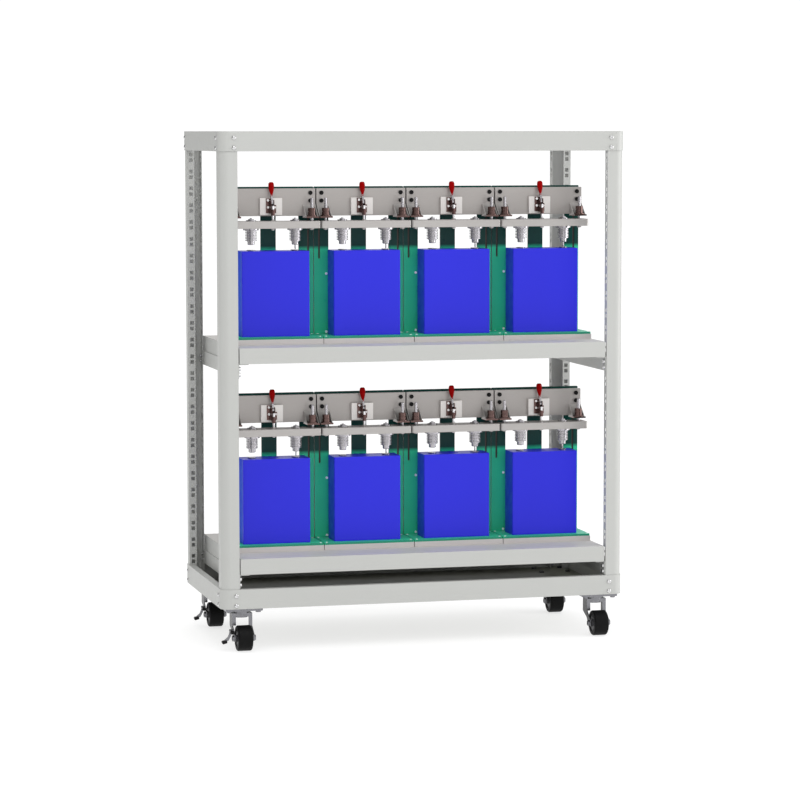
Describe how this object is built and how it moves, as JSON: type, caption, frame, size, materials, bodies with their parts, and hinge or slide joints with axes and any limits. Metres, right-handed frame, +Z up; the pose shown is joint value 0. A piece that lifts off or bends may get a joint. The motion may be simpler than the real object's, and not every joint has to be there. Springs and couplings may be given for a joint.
{
  "type": "prismatic battery cell test rack",
  "caption": "Wheeled two-shelf steel rack of toggle-clamp probe fixtures, each pressing two contact probes towards a removable prismatic battery cell.",
  "frame": {"origin": "centre of the overall envelope, on the floor", "axes": "+Z up, -Y towards the open front from which the cells are loaded, +X to the right of a person facing that front"},
  "size_m": [1.071, 0.523, 1.3115],
  "materials": {
    "frame_paint": "satin powder coat",
    "pan_paint": "satin powder coat",
    "frame_bolt": "bright nickel plate",
    "black_screw": "black oxide",
    "small_screw": "bright plate",
    "fixture_aluminium": "bead blasted, clear anodised",
    "base_aluminium": "milled",
    "green_board": "green lacquered laminate",
    "bush": "polished steel",
    "clamp_steel": "polished plate",
    "press_bar": "anodised bar with nickel probes",
    "handle_grip": "red dipped vinyl over steel",
    "cell_can": "aluminium can in blue film",
    "sense_pin": "gold plate",
    "caster_zinc": "bright zinc",
    "caster_tyre": "moulded black tyre on a nylon hub",
    "brake_steel": "zinc arm with black pedal"
  },
  "bodies": {
    "rack": {"post_front_left": "frame_paint", "post_front_right": "frame_paint", "post_rear_left": "frame_paint", "post_rear_right": "frame_paint", "bottom_beams": "frame_paint", "top_beams": "frame_paint", "corner_caps": "frame_paint", "shelf_rails": "frame_paint", "lower_shelf": "frame_paint", "upper_shelf": "frame_paint", "bottom_pan": "pan_paint", "frame_bolts": "frame_bolt", "base_plates": "base_aluminium", "deck_boards": "green_board", "back_boards": "green_board", "back_frames": "fixture_aluminium", "head_plates": "fixture_aluminium", "guide_brackets": "fixture_aluminium", "clamp_blocks": "fixture_aluminium", "head_screws": "black_screw", "small_screws": "small_screw", "guide_bushes": "bush", "clamp_bodies": "clamp_steel", "sense_pins": "sense_pin", "caster_plates": "caster_zinc", "caster_bolts": "caster_zinc"},
    "press_bar_1": {"press_bar_1": "press_bar"},
    "clamp_handle_1": {"clamp_handle_1": "handle_grip"},
    "cell_1": {"cell_1": "cell_can"},
    "press_bar_2": {"press_bar_2": "press_bar"},
    "clamp_handle_2": {"clamp_handle_2": "handle_grip"},
    "cell_2": {"cell_2": "cell_can"},
    "press_bar_3": {"press_bar_3": "press_bar"},
    "clamp_handle_3": {"clamp_handle_3": "handle_grip"},
    "cell_3": {"cell_3": "cell_can"},
    "press_bar_4": {"press_bar_4": "press_bar"},
    "clamp_handle_4": {"clamp_handle_4": "handle_grip"},
    "cell_4": {"cell_4": "cell_can"},
    "press_bar_5": {"press_bar_5": "press_bar"},
    "clamp_handle_5": {"clamp_handle_5": "handle_grip"},
    "cell_5": {"cell_5": "cell_can"},
    "press_bar_6": {"press_bar_6": "press_bar"},
    "clamp_handle_6": {"clamp_handle_6": "handle_grip"},
    "cell_6": {"cell_6": "cell_can"},
    "press_bar_7": {"press_bar_7": "press_bar"},
    "clamp_handle_7": {"clamp_handle_7": "handle_grip"},
    "cell_7": {"cell_7": "cell_can"},
    "press_bar_8": {"press_bar_8": "press_bar"},
    "clamp_handle_8": {"clamp_handle_8": "handle_grip"},
    "cell_8": {"cell_8": "cell_can"},
    "fork_front_left": {"fork_front_left": "caster_zinc"},
    "wheel_front_left": {"wheel_front_left": "caster_tyre"},
    "brake_front_left": {"brake_front_left": "brake_steel"},
    "fork_front_right": {"fork_front_right": "caster_zinc"},
    "wheel_front_right": {"wheel_front_right": "caster_tyre"},
    "fork_rear_left": {"fork_rear_left": "caster_zinc"},
    "wheel_rear_left": {"wheel_rear_left": "caster_tyre"},
    "brake_rear_left": {"brake_rear_left": "brake_steel"},
    "fork_rear_right": {"fork_rear_right": "caster_zinc"},
    "wheel_rear_right": {"wheel_rear_right": "caster_tyre"}
  },
  "joints": [
    {"name": "bar_press_1", "type": "slide", "parent": "rack", "child": "press_bar_1", "axis": [0, 0, -1], "range_m": [0, 0.0125]},
    {"name": "clamp_lever_1", "type": "hinge", "parent": "rack", "child": "clamp_handle_1", "pos_m": [-0.36, -0.067, 0.5956], "axis": [1, 0, 0], "range_deg": [0, 110]},
    {"name": "cell_insert_1", "type": "slide", "parent": "rack", "child": "cell_1", "axis": [0, -1, 0], "range_m": [0, 0.24]},
    {"name": "bar_press_2", "type": "slide", "parent": "rack", "child": "press_bar_2", "axis": [0, 0, -1], "range_m": [0, 0.0125]},
    {"name": "clamp_lever_2", "type": "hinge", "parent": "rack", "child": "clamp_handle_2", "pos_m": [-0.12, -0.067, 0.5956], "axis": [1, 0, 0], "range_deg": [0, 110]},
    {"name": "cell_insert_2", "type": "slide", "parent": "rack", "child": "cell_2", "axis": [0, -1, 0], "range_m": [0, 0.24]},
    {"name": "bar_press_3", "type": "slide", "parent": "rack", "child": "press_bar_3", "axis": [0, 0, -1], "range_m": [0, 0.0125]},
    {"name": "clamp_lever_3", "type": "hinge", "parent": "rack", "child": "clamp_handle_3", "pos_m": [0.12, -0.067, 0.5956], "axis": [1, 0, 0], "range_deg": [0, 110]},
    {"name": "cell_insert_3", "type": "slide", "parent": "rack", "child": "cell_3", "axis": [0, -1, 0], "range_m": [0, 0.24]},
    {"name": "bar_press_4", "type": "slide", "parent": "rack", "child": "press_bar_4", "axis": [0, 0, -1], "range_m": [0, 0.0125]},
    {"name": "clamp_lever_4", "type": "hinge", "parent": "rack", "child": "clamp_handle_4", "pos_m": [0.36, -0.067, 0.5956], "axis": [1, 0, 0], "range_deg": [0, 110]},
    {"name": "cell_insert_4", "type": "slide", "parent": "rack", "child": "cell_4", "axis": [0, -1, 0], "range_m": [0, 0.24]},
    {"name": "bar_press_5", "type": "slide", "parent": "rack", "child": "press_bar_5", "axis": [0, 0, -1], "range_m": [0, 0.0125]},
    {"name": "clamp_lever_5", "type": "hinge", "parent": "rack", "child": "clamp_handle_5", "pos_m": [-0.36, -0.067, 1.129], "axis": [1, 0, 0], "range_deg": [0, 110]},
    {"name": "cell_insert_5", "type": "slide", "parent": "rack", "child": "cell_5", "axis": [0, -1, 0], "range_m": [0, 0.24]},
    {"name": "bar_press_6", "type": "slide", "parent": "rack", "child": "press_bar_6", "axis": [0, 0, -1], "range_m": [0, 0.0125]},
    {"name": "clamp_lever_6", "type": "hinge", "parent": "rack", "child": "clamp_handle_6", "pos_m": [-0.12, -0.067, 1.129], "axis": [1, 0, 0], "range_deg": [0, 110]},
    {"name": "cell_insert_6", "type": "slide", "parent": "rack", "child": "cell_6", "axis": [0, -1, 0], "range_m": [0, 0.24]},
    {"name": "bar_press_7", "type": "slide", "parent": "rack", "child": "press_bar_7", "axis": [0, 0, -1], "range_m": [0, 0.0125]},
    {"name": "clamp_lever_7", "type": "hinge", "parent": "rack", "child": "clamp_handle_7", "pos_m": [0.12, -0.067, 1.129], "axis": [1, 0, 0], "range_deg": [0, 110]},
    {"name": "cell_insert_7", "type": "slide", "parent": "rack", "child": "cell_7", "axis": [0, -1, 0], "range_m": [0, 0.24]},
    {"name": "bar_press_8", "type": "slide", "parent": "rack", "child": "press_bar_8", "axis": [0, 0, -1], "range_m": [0, 0.0125]},
    {"name": "clamp_lever_8", "type": "hinge", "parent": "rack", "child": "clamp_handle_8", "pos_m": [0.36, -0.067, 1.129], "axis": [1, 0, 0], "range_deg": [0, 110]},
    {"name": "cell_insert_8", "type": "slide", "parent": "rack", "child": "cell_8", "axis": [0, -1, 0], "range_m": [0, 0.24]},
    {"name": "swivel_front_left", "type": "hinge", "parent": "rack", "child": "fork_front_left", "pos_m": [-0.472, -0.195, 0.1], "axis": [0, 0, 1], "continuous": true},
    {"name": "roll_front_left", "type": "hinge", "parent": "fork_front_left", "child": "wheel_front_left", "pos_m": [-0.472, -0.229, 0.0325], "axis": [1, 0, 0], "continuous": true},
    {"name": "brake_pedal_front_left", "type": "hinge", "parent": "fork_front_left", "child": "brake_front_left", "pos_m": [-0.503, -0.223, 0.049], "axis": [0, -1, 0], "range_deg": [0, 14]},
    {"name": "swivel_front_right", "type": "hinge", "parent": "rack", "child": "fork_front_right", "pos_m": [0.472, -0.195, 0.1], "axis": [0, 0, 1], "continuous": true},
    {"name": "roll_front_right", "type": "hinge", "parent": "fork_front_right", "child": "wheel_front_right", "pos_m": [0.472, -0.229, 0.0325], "axis": [1, 0, 0], "continuous": true},
    {"name": "swivel_rear_left", "type": "hinge", "parent": "rack", "child": "fork_rear_left", "pos_m": [-0.472, 0.192, 0.1], "axis": [0, 0, 1], "continuous": true},
    {"name": "roll_rear_left", "type": "hinge", "parent": "fork_rear_left", "child": "wheel_rear_left", "pos_m": [-0.472, 0.158, 0.0325], "axis": [1, 0, 0], "continuous": true},
    {"name": "brake_pedal_rear_left", "type": "hinge", "parent": "fork_rear_left", "child": "brake_rear_left", "pos_m": [-0.503, 0.164, 0.049], "axis": [0, -1, 0], "range_deg": [0, 14]},
    {"name": "swivel_rear_right", "type": "hinge", "parent": "rack", "child": "fork_rear_right", "pos_m": [0.472, 0.192, 0.1], "axis": [0, 0, 1], "continuous": true},
    {"name": "roll_rear_right", "type": "hinge", "parent": "fork_rear_right", "child": "wheel_rear_right", "pos_m": [0.472, 0.158, 0.0325], "axis": [1, 0, 0], "continuous": true}
  ],
  "couplings": [
    {"joint": "clamp_lever_1", "follows": "bar_press_1", "rad_per_m": 153.57},
    {"joint": "clamp_lever_2", "follows": "bar_press_2", "rad_per_m": 153.57},
    {"joint": "clamp_lever_3", "follows": "bar_press_3", "rad_per_m": 153.57},
    {"joint": "clamp_lever_4", "follows": "bar_press_4", "rad_per_m": 153.57},
    {"joint": "clamp_lever_5", "follows": "bar_press_5", "rad_per_m": 153.57},
    {"joint": "clamp_lever_6", "follows": "bar_press_6", "rad_per_m": 153.57},
    {"joint": "clamp_lever_7", "follows": "bar_press_7", "rad_per_m": 153.57},
    {"joint": "clamp_lever_8", "follows": "bar_press_8", "rad_per_m": 153.57}
  ]
}
